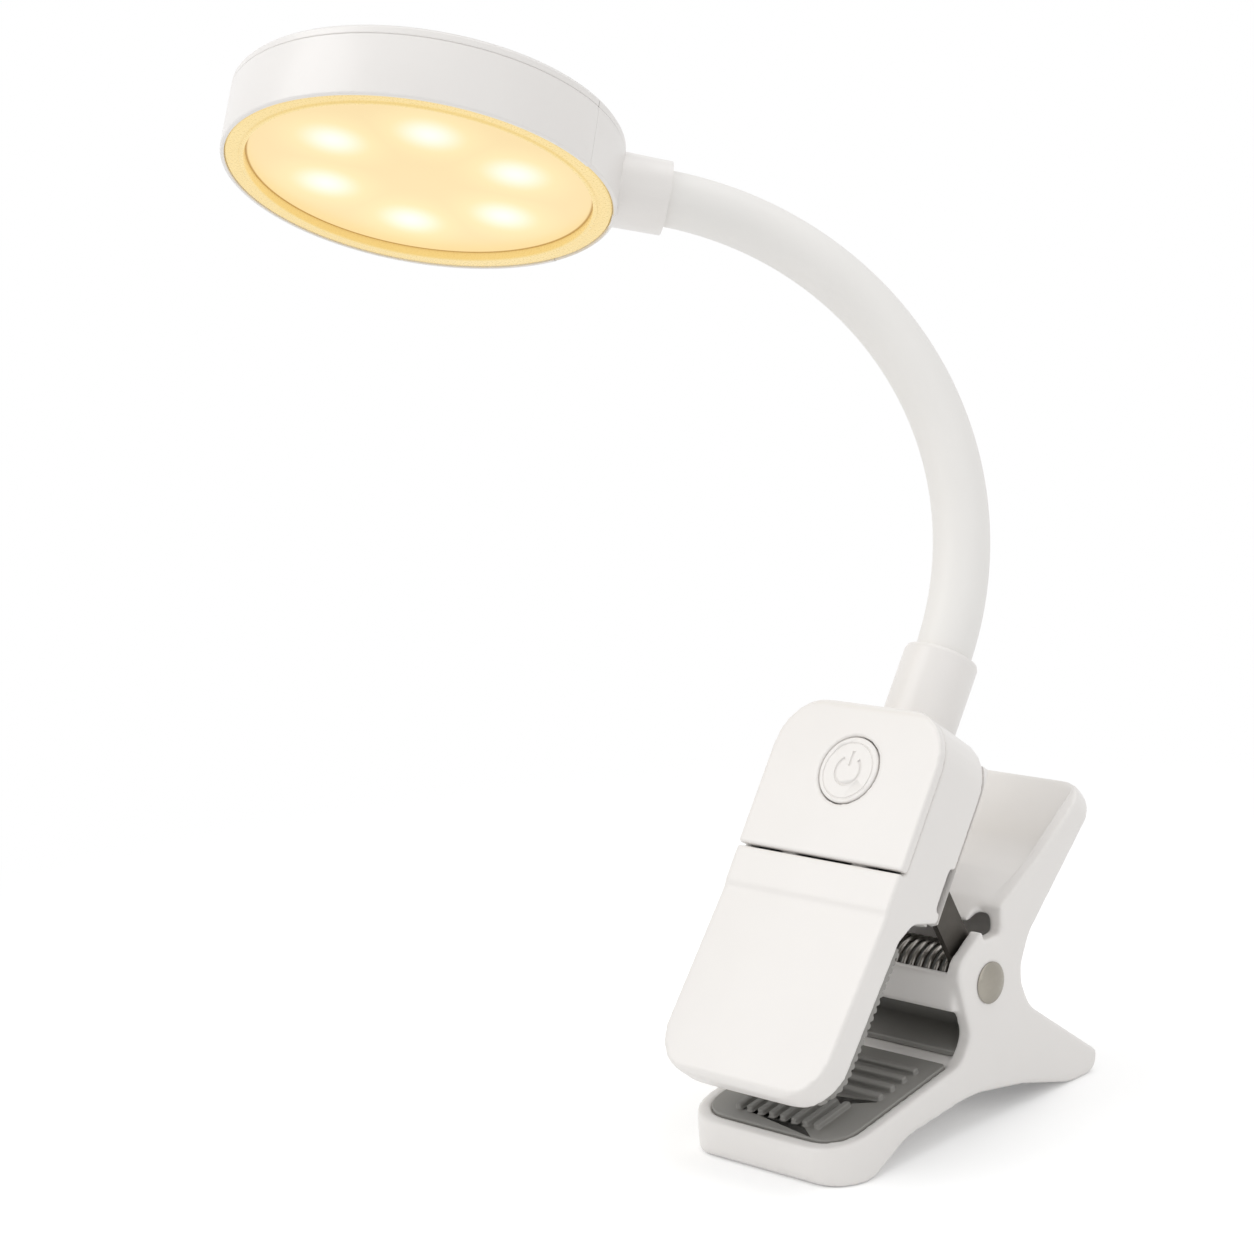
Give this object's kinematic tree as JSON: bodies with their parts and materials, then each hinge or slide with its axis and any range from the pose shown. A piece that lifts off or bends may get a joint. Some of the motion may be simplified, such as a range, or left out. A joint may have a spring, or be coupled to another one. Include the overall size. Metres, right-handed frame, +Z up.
{
  "type": "clip-on reading lamp",
  "caption": "Clip-on battery reading lamp: white spring clip with grip pads, battery housing with power button, bending neck and round lit LED head.",
  "frame": {"origin": "centre of the face under the tip of the lower jaw, on which the lamp rests", "axes": "X across the clip along the hinge pin, Y from the jaw tip back to the heel, Z up"},
  "size_m": [0.138, 0.1016, 0.2019],
  "materials": {
    "white_abs": "satin injection-moulded ABS",
    "soft_sleeve": "soft-touch silicone-like sleeve",
    "grip_rubber": "ribbed grip rubber",
    "nickel_steel": "satin nickel",
    "spring_steel": "drawn spring wire",
    "zinc_steel": "zinc-plated steel",
    "bush_plastic": "acetal",
    "board_green": "solder mask",
    "battery_foil": "pouch foil",
    "copper_lead": "PVC-covered lead",
    "bezel_cream": "translucent cream plastic",
    "glow_diffuser": "opal diffuser, lit warm",
    "reflector_white": "white reflector",
    "diode_yellow": "phosphor-coated diode"
  },
  "bodies": {
    "base": {"lower_clip": "white_abs", "lower_pad": "grip_rubber", "throat_liner": "grip_rubber", "pivot_pin": "nickel_steel", "pin_cap": "nickel_steel", "torsion_spring": "spring_steel", "spring_bush": "bush_plastic"},
    "housing": {"upper_body": "white_abs", "front_panel": "white_abs", "rear_cover": "white_abs", "rear_screws": "nickel_steel", "hinge_bracket": "zinc_steel", "jaw_plate": "white_abs", "upper_pad": "grip_rubber", "tact_switch": "zinc_steel", "control_board": "board_green", "charging_socket": "zinc_steel", "battery": "battery_foil", "lower_collar": "white_abs", "neck_anchor": "zinc_steel", "neck_sleeve_0": "soft_sleeve", "neck_lead_0": "copper_lead"},
    "button": {"power_button": "white_abs"},
    "neck_link_1": {"neck_core_1": "zinc_steel", "neck_sleeve_1": "soft_sleeve", "neck_lead_1": "copper_lead"},
    "neck_link_2": {"neck_core_2": "zinc_steel", "neck_sleeve_2": "soft_sleeve", "neck_lead_2": "copper_lead"},
    "neck_link_3": {"neck_core_3": "zinc_steel", "neck_sleeve_3": "soft_sleeve", "neck_lead_3": "copper_lead"},
    "neck_link_4": {"neck_core_4": "zinc_steel", "neck_sleeve_4": "soft_sleeve", "neck_lead_4": "copper_lead"},
    "neck_link_5": {"neck_core_5": "zinc_steel", "neck_sleeve_5": "soft_sleeve", "neck_lead_5": "copper_lead"},
    "neck_link_6": {"neck_core_6": "zinc_steel", "neck_sleeve_6": "soft_sleeve", "neck_lead_6": "copper_lead"},
    "neck_link_7": {"neck_core_7": "zinc_steel", "neck_sleeve_7": "soft_sleeve", "neck_lead_7": "copper_lead"},
    "neck_link_8": {"neck_core_8": "zinc_steel", "neck_sleeve_8": "soft_sleeve", "neck_lead_8": "copper_lead"},
    "head": {"head_anchor": "zinc_steel", "neck_sleeve_9": "soft_sleeve", "neck_lead_9": "copper_lead", "head_saddle": "white_abs", "head_ring": "white_abs", "back_cover": "white_abs", "bezel": "bezel_cream", "diffuser": "glow_diffuser", "reflector": "reflector_white", "led_board": "board_green", "light_diodes": "diode_yellow", "board_screws": "nickel_steel"}
  },
  "joints": [
    {"name": "clip_hinge", "type": "hinge", "parent": "base", "child": "housing", "pos_m": [0, 0.038, 0.026], "axis": [-1, 0, 0], "range_deg": [0, 30], "stiffness_Nm_per_rad": 0.5, "springref_deg": -28.65},
    {"name": "button_press", "type": "slide", "parent": "housing", "child": "button", "axis": [0, 0.8192, -0.5736], "range_m": [0, 0.0005], "stiffness_N_per_m": 800, "springref_m": -0.0004},
    {"name": "neck_lower_bend", "type": "hinge", "parent": "housing", "child": "neck_link_1", "pos_m": [0, 0.05616, 0.08651], "axis": [0.7547, -0.5374, 0.3763], "range_deg": [-9, 8]},
    {"name": "neck_lower_bend_2", "type": "hinge", "parent": "neck_link_1", "child": "neck_link_2", "pos_m": [-0.00156, 0.06192, 0.09787], "axis": [0.7547, -0.5374, 0.3763], "range_deg": [-9.01, 8.01]},
    {"name": "neck_side_bend", "type": "hinge", "parent": "neck_link_2", "child": "neck_link_3", "pos_m": [-0.00469, 0.06581, 0.10969], "axis": [-0.5816, -0.8135, 0.0047], "range_deg": [-13, 13]},
    {"name": "neck_lower_bend_4", "type": "hinge", "parent": "neck_link_3", "child": "neck_link_4", "pos_m": [-0.00931, 0.0676, 0.12153], "axis": [0.7547, -0.5374, 0.3763], "range_deg": [-9.01, 8.01]},
    {"name": "neck_upper_bend", "type": "hinge", "parent": "neck_link_4", "child": "neck_link_5", "pos_m": [-0.01527, 0.06718, 0.13289], "axis": [0.7547, -0.5374, 0.3763], "range_deg": [-9, 8]},
    {"name": "neck_upper_bend_6", "type": "hinge", "parent": "neck_link_5", "child": "neck_link_6", "pos_m": [-0.02233, 0.06455, 0.14328], "axis": [0.7547, -0.5374, 0.3763], "range_deg": [-9.01, 8.01]},
    {"name": "neck_side_bend_7", "type": "hinge", "parent": "neck_link_6", "child": "neck_link_7", "pos_m": [-0.03017, 0.05983, 0.15228], "axis": [-0.176, -0.7184, -0.673], "range_deg": [-13.01, 13.01]},
    {"name": "neck_upper_bend_8", "type": "hinge", "parent": "neck_link_7", "child": "neck_link_8", "pos_m": [-0.03847, 0.05327, 0.15954], "axis": [0.7547, -0.5374, 0.3763], "range_deg": [-9.01, 8.01]},
    {"name": "neck_upper_bend_9", "type": "hinge", "parent": "neck_link_8", "child": "head", "pos_m": [-0.04689, 0.04517, 0.16485], "axis": [0.7547, -0.5374, 0.3763], "range_deg": [-9.01, 8.01]}
  ],
  "couplings": [
    {"joint": "neck_lower_bend_2", "follows": "neck_lower_bend", "ratio": 1},
    {"joint": "neck_lower_bend_4", "follows": "neck_lower_bend", "ratio": 1},
    {"joint": "neck_upper_bend_6", "follows": "neck_upper_bend", "ratio": 1},
    {"joint": "neck_side_bend_7", "follows": "neck_side_bend", "ratio": 1},
    {"joint": "neck_upper_bend_8", "follows": "neck_upper_bend", "ratio": 1},
    {"joint": "neck_upper_bend_9", "follows": "neck_upper_bend", "ratio": 1}
  ]
}
